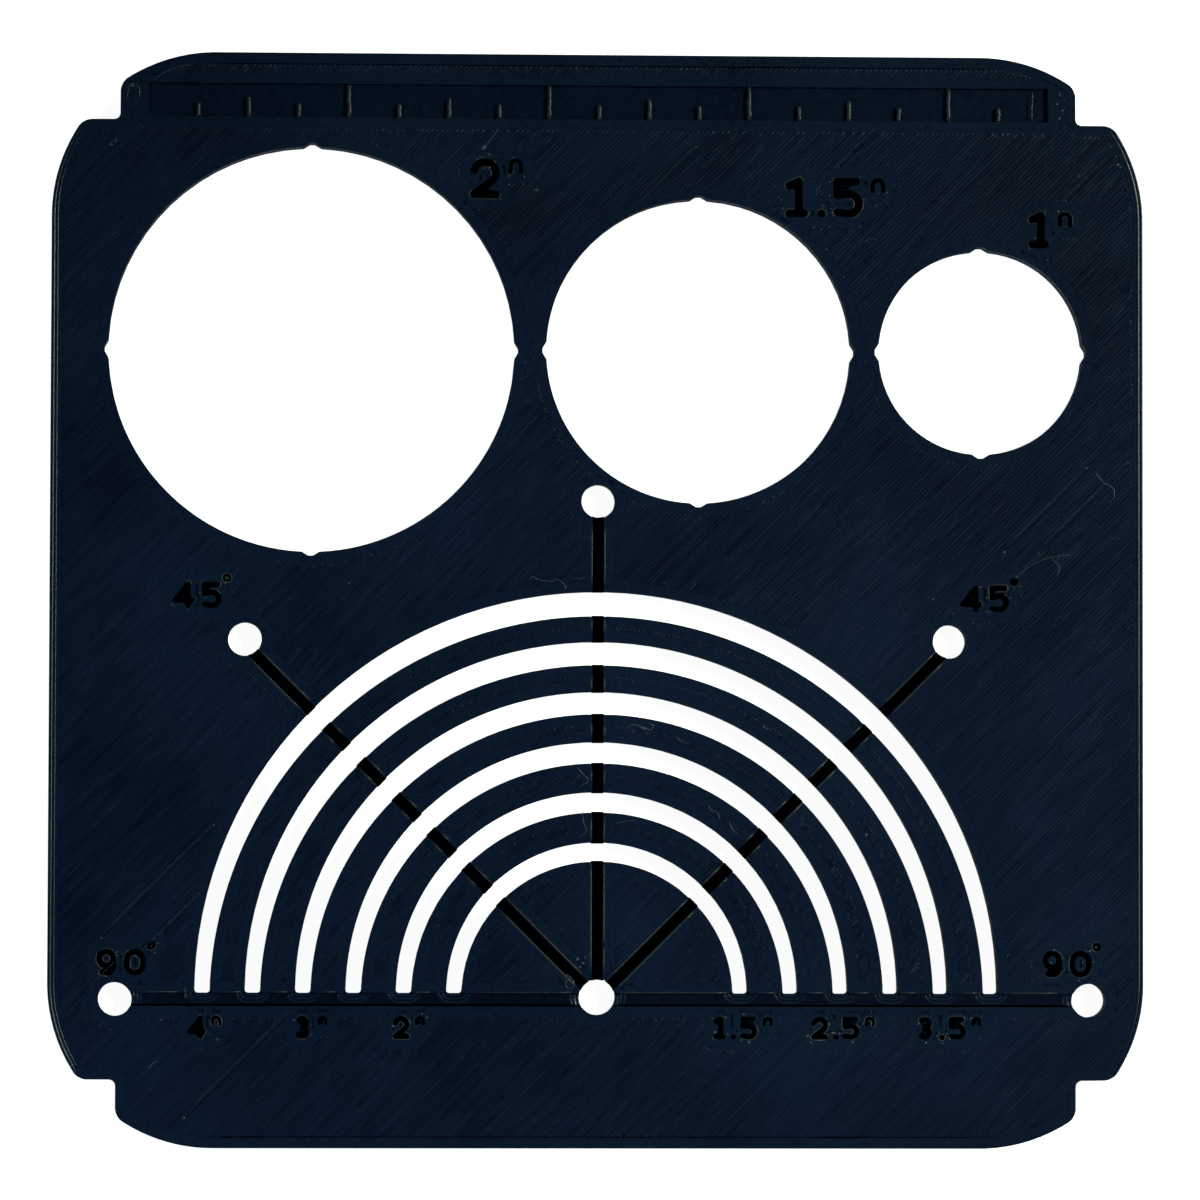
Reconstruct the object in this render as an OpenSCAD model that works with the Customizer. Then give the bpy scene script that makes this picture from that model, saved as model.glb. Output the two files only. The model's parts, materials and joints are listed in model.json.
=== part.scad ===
// Circle template: a flat printed drafting plate with three circle holes, six half-round slots
// about a pivot hole, sighting grooves to five marker holes, and a 4.5 inch ruler edge.
// Millimetres. The plate lies in X and Y with its underside on z = 0, and the ruler edge is at +Y.

/* [Plate] */
// Width of the plate along X
plate_w = 138.5; // [136:0.5:176]
// Height of the plate along Y
plate_h = 138.5; // [138:0.5:176]
// Thickness of the plate
plate_t = 3; // [2.4:0.1:4]
// Radius of the plate's corners
corner_r = 20.8; // [17:0.1:25]
// Distance of each corner notch's walls from the two edges
notch = 8.6; // [7:0.1:10.4]
// Radius of the two outer corners of each notch
notch_outer_r = 1; // [0.5:0.1:1.5]
// Radius of the inner corner of each notch
notch_inner_r = 0.8; // [0.4:0.1:1.5]

/* [Circle holes] */
// Nominal diameter of the large circle, in inches
large_in = 2; // [1.5:0.0625:2.0625]
// Nominal diameter of the middle circle, in inches
middle_in = 1.5; // [1:0.0625:1.5]
// Nominal diameter of the small circle, in inches
small_in = 1; // [0.75:0.0625:1.1875]
// Room for the pencil point, added to every circle's diameter
pencil_room = 0.6; // [0:0.05:0.8]
// Plastic left between the large circle and the middle circle
large_gap = 4; // [2:0.1:5]
// Plastic left between the middle circle and the small circle
small_gap = 3.5; // [2:0.1:5]
// How far the row of circles sits left of the plate's middle
row_left = 0.27; // [0:0.01:0.5]
// Distance of the circles' centres below the ruler edge
row_drop = 37.65; // [36.5:0.05:38.5]
// Depth of the small index notches at each circle's four quarter points
index_depth = 0.48; // [0.2:0.02:0.8]
// Width of the index notches
index_w = 2.9; // [1.5:0.1:4]

/* [Arc slots] */
// Nominal outer diameter of the smallest slot, in inches
first_slot_in = 1.5; // [1.25:0.125:1.75]
// Step in outer diameter from one slot to the next, in inches
slot_step_in = 0.5; // [0.4:0.01:0.5]
// Width of the slots at their feet
slot_w = 2.35; // [1.5:0.05:3]
// Width of the smallest slot at its crown
slot_crown_w = 2.4; // [1.5:0.05:3]
// How much wider each further slot is at its crown
slot_crown_step = 0.15; // [0:0.01:0.2]
// Radius of the corners at the slots' feet
slot_corner_r = 0.4; // [0.2:0.05:0.7]
// Distance of the slots' centre and feet above the bottom edge
arc_height = 19.5; // [18:0.1:20]

/* [Pivot and marker holes] */
// Diameter of the pivot hole
pivot_d = 4.6; // [3:0.1:6]
// How far the pivot hole's centre sits below the slots' centre
pivot_drop = 0.45; // [0:0.05:0.8]
// Wall around the pivot hole
pivot_wall = 1.35; // [0.9:0.05:1.8]
// Diameter of the five marker holes
marker_d = 4.3; // [3:0.1:5.2]
// Wall around each marker hole
marker_wall = 0.8; // [0.4:0.05:0.8]
// Distance from the slots' centre to the 0 degree marker hole
reach_0 = 62.25; // [61.5:0.05:62.5]
// Distance from the slots' centre to the 45 degree marker holes
reach_45 = 63.1; // [60:0.1:64]
// Distance from the slots' centre to the left 90 degree marker hole
reach_90_left = 60.8; // [58:0.1:62.4]
// Distance from the slots' centre to the right 90 degree marker hole
reach_90_right = 62.3; // [58:0.1:62.4]

/* [Grooves] */
// Width of the 0 and 45 degree grooves
groove_w = 1.4; // [1:0.05:2]
// Depth of the 0 and 45 degree grooves
groove_depth = 1; // [0.4:0.1:1.4]
// How far below the slots' centre the 45 degree grooves meet
groove_drop = 0.65; // [0:0.05:0.8]
// Width of the 90 degree groove
base_groove_w = 1.7; // [1:0.05:2]
// Depth of the 90 degree groove
base_groove_depth = 0.4; // [0.2:0.1:1]
// How far the 90 degree groove's centre line sits below the slots' centre
base_groove_drop = 0.8; // [0.4:0.05:0.9]

/* [Ruler] */
// Length of the ruler, in inches
ruler_in = 4.5; // [3:0.25:4.5]
// Distance of the ruler panel's upper side from the edge
panel_drop = 3.9; // [3.5:0.1:5]
// Height of the ruler panel
panel_h = 4.35; // [4:0.05:4.5]
// Depth of the ruler panel
panel_depth = 0.6; // [0.3:0.1:1]
// Thickness of each tick
tick_w = 0.6; // [0.4:0.05:1]
// Length of the quarter inch ticks
quarter_tick = 1.95; // [1:0.05:2.2]
// Length of the half inch ticks
half_tick = 2.7; // [2.3:0.1:3.6]

/* [Engraved numbers] */
// Depth of the numbers
mark_depth = 0.8; // [0.2:0.1:1.4]
// Height of the circle numbers
circle_mark_h = 5.1; // [4:0.1:5.5]
// Stroke of the circle numbers
circle_mark_s = 1; // [0.6:0.05:1.1]
// Height of the angle numbers
angle_mark_h = 3.4; // [2.8:0.1:3.6]
// Stroke of the angle numbers
angle_mark_s = 0.72; // [0.4:0.02:0.8]
// Height of the slot numbers
slot_mark_h = 2.9; // [2.4:0.1:3.2]
// Stroke of the slot numbers
slot_mark_s = 0.66; // [0.4:0.02:0.7]
// Distance of the slot numbers below the 90 degree groove
slot_mark_gap = 1.2; // [0.8:0.1:1.6]

/* [Hidden] */
$fn = 96;

inch = 25.4;
half_w = plate_w / 2;
half_h = plate_h / 2;
// Overshoot of a cutting shape past the face that it cuts
over = 1;

// Walls of the corner notches that face the ruler edge and the bottom edge
wall_y = half_h - notch;

// Circle holes: radii and centres
large_r = (large_in * inch + pencil_room) / 2;
middle_r = (middle_in * inch + pencil_room) / 2;
small_r = (small_in * inch + pencil_room) / 2;
row_w = 2 * (large_r + middle_r + small_r) + large_gap + small_gap;
row_x = -row_w / 2 - row_left;
row_y = half_h - row_drop;
large_c = [row_x + large_r, row_y];
middle_c = [large_c[0] + large_r + large_gap + middle_r, row_y];
small_c = [middle_c[0] + middle_r + small_gap + small_r, row_y];
// Lines that part the three panels, in the middle of the gaps
large_split = large_c[0] + large_r + large_gap / 2;
small_split = middle_c[0] + middle_r + small_gap / 2;

// Arc slots
SLOTS = 6;
arc_y = arc_height - half_h;
function slot_outer(i) = (first_slot_in + (i - 1) * slot_step_in) * inch / 2;
// The inner wall is an arc through the slot's inner feet and the lower side of its crown
function slot_foot(i) = slot_outer(i) - slot_w;
function slot_crown(i) = slot_outer(i) - slot_crown_w - (i - 1) * slot_crown_step;
function slot_inner_rise(i) = (pow(slot_crown(i), 2) - pow(slot_foot(i), 2)) / (2 * slot_crown(i));
function slot_inner_r(i) = slot_crown(i) - slot_inner_rise(i);
// Plastic above the largest slot that belongs to the spandrels
crown = 3;
panel_floor_y = arc_y + slot_outer(SLOTS) + crown;

// Pivot and marker holes
pivot_c = [0, arc_y - pivot_drop];
pivot_r = pivot_d / 2;
marker_r = marker_d / 2;
base_y = arc_y - base_groove_drop;
function on_ray(reach, angle) = [0, arc_y] + reach * [cos(angle), sin(angle)];
mark_0 = on_ray(reach_0, 90);
mark_45_left = on_ray(reach_45, 135);
mark_45_right = on_ray(reach_45, 45);
mark_90_left = [-reach_90_left, base_y];
mark_90_right = [reach_90_right, base_y];
MARKS = [mark_0, mark_45_left, mark_45_right, mark_90_left, mark_90_right];

// Ruler
ruler_l = ruler_in * inch;
panel_y = half_h - panel_drop - panel_h;
tick_step = inch / 4;
TICKS = floor(ruler_in * 4 + 0.01) - 1;
PER_HALF = 2;
PER_INCH = 4;

// Width and height of the inch signs, and diameter of the degree signs
circle_sign = [1.85, 1.95];
slot_sign = [1.25, 1.25];
degree_sign = 1.1;
// Where each circle's number stands: its gap outside the circle, and its direction
large_mark = [2.07, 44];
middle_mark = [0.98, 57.3];
small_mark = [1.68, 65.4];
// Diameter of a stroke's round ends as a share of its width, so that they don't touch its sides
end_share = 0.94;
// Widths of the spaces inside the angle numbers
angle_gaps = [0.95, 0.1];
// Widths of the spaces inside the slot numbers, whole and with a half
whole_gaps = [0.7];
half_gaps = [0.65, 0.6, 0.7];

// ---------- flat building blocks ----------

// Rectangle between two corners
module span(x0, y0, x1, y1) {
    translate([x0, y0]) square([x1 - x0, y1 - y0]);
}

// Straight stroke with round ends
module stroke(p, q, s) {
    run = q - p;
    translate(p) rotate(atan2(run[1], run[0])) {
        translate([0, -s / 2]) square([norm(run), s]);
        for (x = [0, norm(run)]) translate([x, 0]) circle(d = s * end_share);
    }
}

// Arc stroke with round ends, from angle a0 up to a1
module arc_stroke(c, r, a0, a1, s) {
    steps = ceil((a1 - a0) / 60);
    far = 3 * (r + s);
    translate(c) {
        intersection() {
            difference() {
                circle(r + s / 2);
                circle(r - s / 2);
            }
            polygon(concat([[0, 0]],
                [for (i = [0:steps]) let (a = a0 + (a1 - a0) * i / steps) far * [cos(a), sin(a)]]));
        }
        for (a = [a0, a1]) translate(r * [cos(a), sin(a)]) circle(d = s * end_share);
    }
}

// Width of a character as a share of its height
function glyph_w(c) = c == "1" ? 0.56 : c == "." ? 0.2 : c == "0" ? 0.82 : c == "4" ? 0.82 : 0.74;

// One character, with its lower left corner on the origin
module glyph(c, h, s) {
    w = glyph_w(c) * h;
    e = s / 2;
    bowl = (w - s) / 2;
    if (c == "0") {
        arc_stroke([w / 2, h - e - bowl], bowl, 0, 180, s);
        arc_stroke([w / 2, e + bowl], bowl, 180, 360, s);
        stroke([e, e + bowl], [e, h - e - bowl], s);
        stroke([w - e, e + bowl], [w - e, h - e - bowl], s);
    }
    if (c == "1") {
        stroke([w * 0.6, e], [w * 0.6, h - e], s);
        stroke([e, h * 0.79], [w * 0.6, h - e], s);
        stroke([e, e], [w - e, e], s);
    }
    if (c == "2") {
        arc_stroke([w / 2, h - e - bowl], bowl, -35, 165, s);
        stroke([w / 2, h - e - bowl] + bowl * [cos(-35), sin(-35)], [e, e], s);
        stroke([e, e], [w - e, e], s);
    }
    if (c == "3") {
        top = (h - s) * 0.24;
        low = (h - s) * 0.26;
        arc_stroke([w * 0.42, h - e - top], top, -90, 140, s);
        arc_stroke([w * 0.42, e + low], low, -140, 90, s);
    }
    if (c == "4") {
        stroke([w * 0.72, e], [w * 0.72, h - e], s);
        stroke([w * 0.72, h - e], [e, h * 0.3], s);
        stroke([e, h * 0.3], [w - e, h * 0.3], s);
    }
    if (c == "5") {
        low = (h - s) * 0.31;
        mid = [w - e - low, e + low];
        stroke([e, h - e], [w - e * 1.6, h - e], s);
        stroke([e, h - e], [e, mid[1] + low * 0.86], s);
        stroke([e, mid[1] + low * 0.86], mid + [0, low], s);
        arc_stroke(mid, low, -90, 90, s);
        stroke(mid - [0, low], [e, e + low * 0.16], s);
    }
    if (c == "9") {
        arc_stroke([w / 2, h - e - bowl], bowl, 0, 180, s);
        arc_stroke([w / 2, h - e - bowl], bowl, 180, 360, s);
        stroke([w - e, h - e - bowl], [w - e, e + bowl * 0.9], s);
        arc_stroke([w - e - bowl * 0.9, e + bowl * 0.9], bowl * 0.9, -90, 0, s);
        stroke([w - e - bowl * 0.9, e], [e * 2, e * 1.2], s);
    }
    if (c == ".") translate([w / 2, w / 2]) circle(d = w * 0.7);
}

// Left edge of character i of a number
function glyph_x(number, gaps, h, i) =
    i == 0 ? 0 : glyph_x(number, gaps, h, i - 1) + glyph_w(number[i - 1]) * h + gaps[i - 1];

// Inch sign: a small arch that hangs from the height of the number
module inch_sign(size) {
    s = size[0] * 0.29;
    r = (size[0] - s) / 2;
    spring = -s / 2 - r;
    arc_stroke([size[0] / 2, spring], r, 0, 180, s);
    for (x = [s / 2, size[0] - s / 2]) stroke([x, s / 2 - size[1]], [x, spring], s);
}

// Degree sign: a small ring above the height of the number
module degree_ring() {
    translate([degree_sign / 2, degree_sign / 2 - 0.1]) difference() {
        circle(d = degree_sign);
        circle(d = degree_sign * 0.45);
    }
}

// A number with its end sign, cut mark_depth into the plate with its lower left corner at p.
// gaps holds the space after each character, and the end sign is the module's child.
module number(p, h, s, number, gaps) {
    translate([p[0], p[1], plate_t - mark_depth]) linear_extrude(mark_depth + over) {
        for (i = [0:len(number) - 1]) translate([glyph_x(number, gaps, h, i), 0]) glyph(number[i], h, s);
        translate([glyph_x(number, gaps, h, len(number)), h]) children();
    }
}

// ---------- the plate's flat shape ----------

// What the corner notch removes, with the corner arc's centre on the origin
module corner_cut() {
    w = corner_r - notch;
    c = [w - notch_outer_r, sqrt(pow(corner_r - notch_outer_r, 2) - pow(w - notch_outer_r, 2))];
    touch = c * corner_r / (corner_r - notch_outer_r);
    difference() {
        span(w, w, corner_r + over, corner_r + over);
        difference() {
            span(w, w, w + notch_inner_r, w + notch_inner_r);
            translate([w, w] + notch_inner_r * [1, 1]) circle(notch_inner_r);
        }
    }
    for (flip = [0, 1]) mirror([flip, -flip]) difference() {
        polygon([c, [w, c[1]], [w, touch[1] + notch_outer_r], touch]);
        translate(c) circle(notch_outer_r);
    }
}

module outline() {
    cx = half_w - corner_r;
    cy = half_h - corner_r;
    difference() {
        union() {
            span(-half_w, -cy, half_w, cy);
            span(-cx, -half_h, cx, half_h);
            for (x = [-cx, cx], y = [-cy, cy]) translate([x, y]) circle(corner_r);
        }
        for (mx = [0, 1], my = [0, 1]) mirror([mx, 0]) mirror([0, my]) translate([cx, cy]) corner_cut();
    }
}

// The stretch of the plate between two corners
module area(x0, y0, x1, y1) {
    intersection() {
        outline();
        span(x0, y0, x1, y1);
    }
}

// Circle hole with an index notch at each quarter point
module circle_hole(c, r) {
    translate(c) {
        circle(r);
        for (a = [0, 90, 180, 270]) rotate(a)
            polygon([[r - index_depth, -index_w / 2 - index_depth], [r + index_depth, -index_w / 8],
                     [r + index_depth, index_w / 8], [r - index_depth, index_w / 2 + index_depth]]);
    }
}

// Where the rings around the pivot and marker holes sit
module ring_seats() {
    translate(pivot_c) circle(pivot_r + pivot_wall);
    for (p = MARKS) translate(p) circle(marker_r + marker_wall);
}

// Rounding at a slot's foot, on the side of the plastic whose edge is at x: side 1 is right of it
module foot(x, side) {
    for (m = [0, 1]) mirror([m, 0]) translate([x, arc_y]) mirror([side < 0 ? 1 : 0, 0]) difference() {
        span(-slot_corner_r, 0, slot_corner_r, slot_corner_r);
        translate([slot_corner_r, slot_corner_r]) circle(slot_corner_r);
    }
}

// ---------- cuts into the top face ----------

module groove(p, angle, length, w, depth) {
    translate([p[0], p[1], plate_t - depth]) rotate(angle)
        translate([0, -w / 2, 0]) cube([length, w, depth + over]);
}

// The 0 degree groove and the two 45 degree grooves
module sight_grooves() {
    meet = [0, arc_y - groove_drop];
    groove(meet, 90, reach_0, groove_w, groove_depth);
    for (angle = [45, 135]) groove(meet, angle, reach_45, groove_w, groove_depth);
}

// The 90 degree groove along the baseline
module base_groove() {
    groove(mark_90_left, 0, reach_90_left + reach_90_right, base_groove_w, base_groove_depth);
}

module ruler_pocket() {
    translate([-ruler_l / 2, panel_y, plate_t - panel_depth])
        cube([ruler_l, panel_h, panel_depth + over]);
}

// Number beside a circle hole, with its lower left corner at the mark's gap and direction
module circle_number(c, r, mark, digits, gaps, h) {
    number(c + (r + mark[0]) * [cos(mark[1]), sin(mark[1])], h, circle_mark_s, digits, gaps)
        inch_sign(circle_sign);
}

module angle_number(p, digits) {
    number(p, angle_mark_h, angle_mark_s, digits, angle_gaps) degree_ring();
}

// Number under the foot of slot i, its left edge at x from the slot's outer edge
module slot_number(i, side, x, digits, gaps) {
    number([side * slot_outer(i) + x, base_y - base_groove_w / 2 - slot_mark_gap - slot_mark_h],
        slot_mark_h, slot_mark_s, digits, gaps) inch_sign(slot_sign);
}

// ---------- the nodes ----------

// Full-height slab from a flat shape
module slab() {
    linear_extrude(plate_t) children();
}

module ruler_rail() {
    color("midnightblue") difference() {
        slab() area(-half_w, wall_y, half_w, half_h);
        ruler_pocket();
    }
}

// The ticks whose number k, counted from the ruler's left end, passes the test
function is_inch(k) = k % PER_INCH == 0;
function is_half(k) = k % PER_HALF == 0 && !is_inch(k);

module tick(k, length) {
    translate([-ruler_l / 2 + k * tick_step - tick_w / 2, panel_y, plate_t - panel_depth])
        cube([tick_w, length, panel_depth]);
}

module quarter_inch_ticks() {
    color("slategray") for (k = [1:TICKS]) if (!is_half(k) && !is_inch(k)) tick(k, quarter_tick);
}

module half_inch_ticks() {
    color("slategray") for (k = [1:TICKS]) if (is_half(k)) tick(k, half_tick);
}

module inch_ticks() {
    color("slategray") for (k = [1:TICKS]) if (is_inch(k)) tick(k, panel_h);
}

// A panel of the circle row between x0 and x1, with its hole
module circle_panel(x0, x1, c, r) {
    color("midnightblue") difference() {
        slab() difference() {
            area(x0, panel_floor_y, x1, wall_y);
            circle_hole(c, r);
            ring_seats();
        }
        ruler_pocket();
        children();
    }
}

module panel_2in() {
    circle_panel(-half_w, large_split, large_c, large_r)
        circle_number(large_c, large_r, large_mark, "2", [1.1], circle_mark_h);
}

// The middle circle's number runs over the line between its panel and the next
module middle_number() {
    circle_number(middle_c, middle_r, middle_mark, "1.5", [1.2, 1, 1], circle_mark_h);
}

module panel_1_5in() {
    circle_panel(large_split, small_split, middle_c, middle_r) {
        middle_number();
        sight_grooves();
    }
}

module panel_1in() {
    circle_panel(small_split, half_w, small_c, small_r) {
        middle_number();
        circle_number(small_c, small_r, small_mark, "1", [1.1], circle_mark_h - 0.4);
    }
}

// The plate outside the largest slot, from x0 to x1
module spandrel(x0, x1) {
    color("midnightblue") difference() {
        slab() difference() {
            union() {
                difference() {
                    area(x0, arc_y, x1, panel_floor_y);
                    translate([0, arc_y]) circle(slot_outer(SLOTS));
                }
                intersection() {
                    foot(slot_outer(SLOTS), -1);
                    span(x0, arc_y, x1, panel_floor_y);
                }
            }
            ring_seats();
        }
        sight_grooves();
        base_groove();
        children();
    }
}

module left_spandrel() {
    spandrel(-half_w, 0) {
        angle_number(mark_45_left + [-9.2, 3.85], "45");
        angle_number(mark_90_left + [-2.3, 2.95], "90");
    }
}

module right_spandrel() {
    spandrel(0, half_w) {
        angle_number(mark_45_right + [1.3, 3.75], "45");
        angle_number(mark_90_right + [-5.9, 2.95], "90");
    }
}

// What stands on the foot line inside slot i
module inside_slot(i) {
    intersection() {
        translate([0, arc_y + slot_inner_rise(i)]) circle(slot_inner_r(i));
        span(-half_w, arc_y, half_w, half_h);
    }
    foot(slot_foot(i), 1);
}

// Band between slot i and slot i + 1
module arc_band(i) {
    color("midnightblue") difference() {
        slab() {
            difference() {
                inside_slot(i + 1);
                translate([0, arc_y]) circle(slot_outer(i));
            }
            foot(slot_outer(i), -1);
        }
        sight_grooves();
        base_groove();
    }
}

module centre_half_disc() {
    color("midnightblue") difference() {
        slab() difference() {
            inside_slot(1);
            ring_seats();
        }
        sight_grooves();
        base_groove();
    }
}

// Full-height ring with its bore
module ring(p, r, wall) {
    color("darkslateblue") difference() {
        translate(p) cylinder(h = plate_t, r = r + wall);
        translate([p[0], p[1], -over]) cylinder(h = plate_t + 2 * over, r = r);
        sight_grooves();
        base_groove();
    }
}

module pivot_ring() { ring(pivot_c, pivot_r, pivot_wall); }

module zero_mark_ring() { ring(mark_0, marker_r, marker_wall); }

module left_45_mark_ring() { ring(mark_45_left, marker_r, marker_wall); }

module right_45_mark_ring() { ring(mark_45_right, marker_r, marker_wall); }

module left_90_mark_ring() { ring(mark_90_left, marker_r, marker_wall); }

module right_90_mark_ring() { ring(mark_90_right, marker_r, marker_wall); }

module label_bar() {
    color("midnightblue") difference() {
        slab() difference() {
            area(-half_w, -wall_y, half_w, arc_y);
            ring_seats();
        }
        base_groove();
        slot_number(6, -1, -0.9, "4", whole_gaps);
        slot_number(4, -1, 0, "3", whole_gaps);
        slot_number(2, -1, -0.4, "2", whole_gaps);
        slot_number(1, 1, -4.4, "1.5", half_gaps);
        slot_number(3, 1, -4.7, "2.5", half_gaps);
        slot_number(5, 1, -3.9, "3.5", half_gaps);
    }
}

module foot_rail() {
    color("midnightblue") slab() area(-half_w, -half_h, half_w, -wall_y);
}

ruler_rail();
quarter_inch_ticks();
half_inch_ticks();
inch_ticks();
panel_2in();
panel_1_5in();
panel_1in();
left_spandrel();
right_spandrel();
arc_band(1);  // arc_band_1
arc_band(2);  // arc_band_2
arc_band(3);  // arc_band_3
arc_band(4);  // arc_band_4
arc_band(5);  // arc_band_5
centre_half_disc();
pivot_ring();
zero_mark_ring();
left_45_mark_ring();
right_45_mark_ring();
left_90_mark_ring();
right_90_mark_ring();
label_bar();
foot_rail();
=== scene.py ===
"""Looks of the circle template: a plate printed in dark navy plastic, laid down bead by bead.

Every visible surface is a printed bead: contour beads along each edge, straight beads that fill the
space between them at 45 degrees, and walls of stacked layers. Sketches are in millimetres, in the
frame's own axes, and turn into metres when a mesh is made.
"""
import json
import math

import bpy
import numpy as np
from mathutils import Euler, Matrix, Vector
from mathutils.geometry import delaunay_2d_cdt


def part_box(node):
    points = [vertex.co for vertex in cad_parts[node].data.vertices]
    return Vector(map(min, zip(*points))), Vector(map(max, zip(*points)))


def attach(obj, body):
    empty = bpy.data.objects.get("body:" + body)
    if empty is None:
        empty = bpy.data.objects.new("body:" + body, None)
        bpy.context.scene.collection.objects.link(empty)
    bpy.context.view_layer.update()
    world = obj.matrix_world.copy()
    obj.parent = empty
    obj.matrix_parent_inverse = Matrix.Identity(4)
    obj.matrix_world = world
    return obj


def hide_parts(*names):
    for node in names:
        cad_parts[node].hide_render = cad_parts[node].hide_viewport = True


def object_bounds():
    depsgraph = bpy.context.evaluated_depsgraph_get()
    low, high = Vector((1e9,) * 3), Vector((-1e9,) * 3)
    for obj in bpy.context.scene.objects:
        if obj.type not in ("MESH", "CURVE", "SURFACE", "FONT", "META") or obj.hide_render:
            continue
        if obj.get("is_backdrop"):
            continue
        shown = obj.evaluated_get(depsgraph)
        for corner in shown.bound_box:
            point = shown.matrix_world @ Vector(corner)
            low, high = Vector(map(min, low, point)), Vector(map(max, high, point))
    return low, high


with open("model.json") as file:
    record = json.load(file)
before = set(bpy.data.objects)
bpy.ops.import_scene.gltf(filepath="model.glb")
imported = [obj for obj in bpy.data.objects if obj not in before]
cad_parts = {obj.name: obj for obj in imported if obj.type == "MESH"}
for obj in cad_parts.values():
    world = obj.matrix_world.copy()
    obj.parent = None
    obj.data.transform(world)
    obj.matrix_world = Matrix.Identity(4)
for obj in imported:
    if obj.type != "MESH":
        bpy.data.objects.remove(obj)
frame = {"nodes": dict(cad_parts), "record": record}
cad_low, cad_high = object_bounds()
record = frame["record"]
rng = np.random.default_rng(48)

MM = 0.001
INCH = 25.4

# ---------- sizes ----------

# Printing: width of a bead, number of contour beads along each edge, height of a layer
BEAD = 0.45
WALLS = 3
LAYER = 0.2
# Radii of the plate's corners, and of the notch corners in them
CORNER_R = 20.8
NOTCH_OUTER_R = 1.0
NOTCH_INNER_R = 0.8
# Circle holes: nominal sizes, room for the pencil, and the index notches at their quarter points
CIRCLE_INCHES = (2, 1.5, 1)
PENCIL_ROOM = 0.6
INDEX_DEPTH = 0.48
INDEX_HALF_W = 1.15
INDEX_FLAT = 0.36
# Slots: outer diameters in inches, and the radius of their feet
FIRST_SLOT_IN = 1.5
SLOT_STEP_IN = 0.5
SLOT_CORNER_R = 0.4
# Sighting grooves: width, length, depth, and how far below the slots' centre they meet
GROOVE_W = 1.4
GROOVE_LENGTH = 62.7
GROOVE_DEPTH = 1.0
GROOVE_DROP = 0.65
# Baseline groove: width, depth, and how far below the slots' centre it runs
BASE_GROOVE_W = 1.7
BASE_GROOVE_DEPTH = 0.4
BASE_DROP = 0.8
# Depths of the ruler panel and of the numbers
PANEL_DEPTH = 0.6
MARK_DEPTH = 0.8
# Ruler: its length in inches, and its ridges to the inch
RULER_INCHES = 4.5
RIDGES_PER_INCH = 4


def node_box(node):
    """A CAD node's lowest and highest corner, in millimetres."""
    low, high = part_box(node)
    return np.array(low) / MM, np.array(high) / MM


half_w = cad_high.x / MM
half_h = cad_high.y / MM
top = cad_high.z / MM
# The rail's foot flares into the inner corner of each notch
rail_low, rail_high = node_box("ruler_rail")
notch_x = rail_high[0] - NOTCH_INNER_R
notch_y = rail_low[1]
arc_y = node_box("label_bar")[1][1]
panel_low, panel_high = node_box("inch_ticks")
panel_y = (panel_low[1], panel_high[1])
ruler_half = RULER_INCHES * INCH / 2

# Centres and radii of the pivot hole, the zero mark, the two 45 degree marks and the two 90 degree marks
bores = []
for mount in record["mounts"]:
    if mount["kind"] == "bore":
        bores.append((np.array(mount["pos_m"][:2]) / MM, mount["dims"]["r_mm"]))
baseline = (bores[4][0][0], bores[5][0][0])

circles = []
for opening, inches in zip(record["physics"]["openings"], CIRCLE_INCHES):
    box_low, box_high = np.array(opening["box_m"]) / MM
    circles.append(((box_low + box_high)[:2] / 2, (inches * INCH + PENCIL_ROOM) / 2))

# Slots, from the plastic inside each: its half width, and its height above the line of the slots' feet
inside_slots = ["centre_half_disc"] + [f"arc_band_{i}" for i in range(1, 6)]
slots = []
for i, node in enumerate(inside_slots):
    high = node_box(node)[1]
    foot, crown = high[0], high[1] - arc_y
    rise = (crown ** 2 - foot ** 2) / (2 * crown)
    outer = (FIRST_SLOT_IN + i * SLOT_STEP_IN) * INCH / 2
    slots.append({"outer": outer, "rise": rise, "inner": crown - rise})

# ---------- distance fields on one fine grid ----------

# Step of the grid, its room round the plate, and the value of a field far from what it measures
STEP = 0.15
GRID_ROOM = 1
FAR = 9.0
xs = np.arange(-half_w - GRID_ROOM, half_w + GRID_ROOM + STEP, STEP)
ys = np.arange(-half_h - GRID_ROOM, half_h + GRID_ROOM + STEP, STEP)
X, Y = np.meshgrid(xs, ys)


def rounded(a, b, r):
    """Distance outside the overlap of two cuts, with the corner between them rounded."""
    return np.minimum(np.maximum(a, b), -r) + np.hypot(np.maximum(a + r, 0), np.maximum(b + r, 0))


def cornered(x, y, r=0.0):
    """Distance outside a corner of radius r, where x and y run outwards from the centre of its arc."""
    return np.hypot(np.maximum(x, 0), np.maximum(y, 0)) + np.minimum(np.maximum(x, y), 0) - r


def boxed(x0, x1, y0, y1):
    """Distance outside a rectangle."""
    return cornered(np.maximum(x0 - X, X - x1), np.maximum(y0 - Y, Y - y1))


def outline_gap():
    """Distance inside the plate's outline."""
    square = cornered(np.abs(X) - (half_w - CORNER_R), np.abs(Y) - (half_h - CORNER_R), CORNER_R)
    notch = cornered(notch_x - np.abs(X) + NOTCH_INNER_R, notch_y - np.abs(Y) + NOTCH_INNER_R, NOTCH_INNER_R)
    return -rounded(square, -notch, NOTCH_OUTER_R)


def circle_gap(centre, r):
    """Distance outside a circle hole with its four index notches."""
    dx, dy = X - centre[0], Y - centre[1]
    angle = np.arctan2(dy, dx)
    across = r * np.abs(angle - np.round(angle / (math.pi / 2)) * (math.pi / 2))
    notch = np.clip((INDEX_HALF_W - across) / (INDEX_HALF_W - INDEX_FLAT), 0, 1) * INDEX_DEPTH
    return np.hypot(dx, dy) - r - notch


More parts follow.
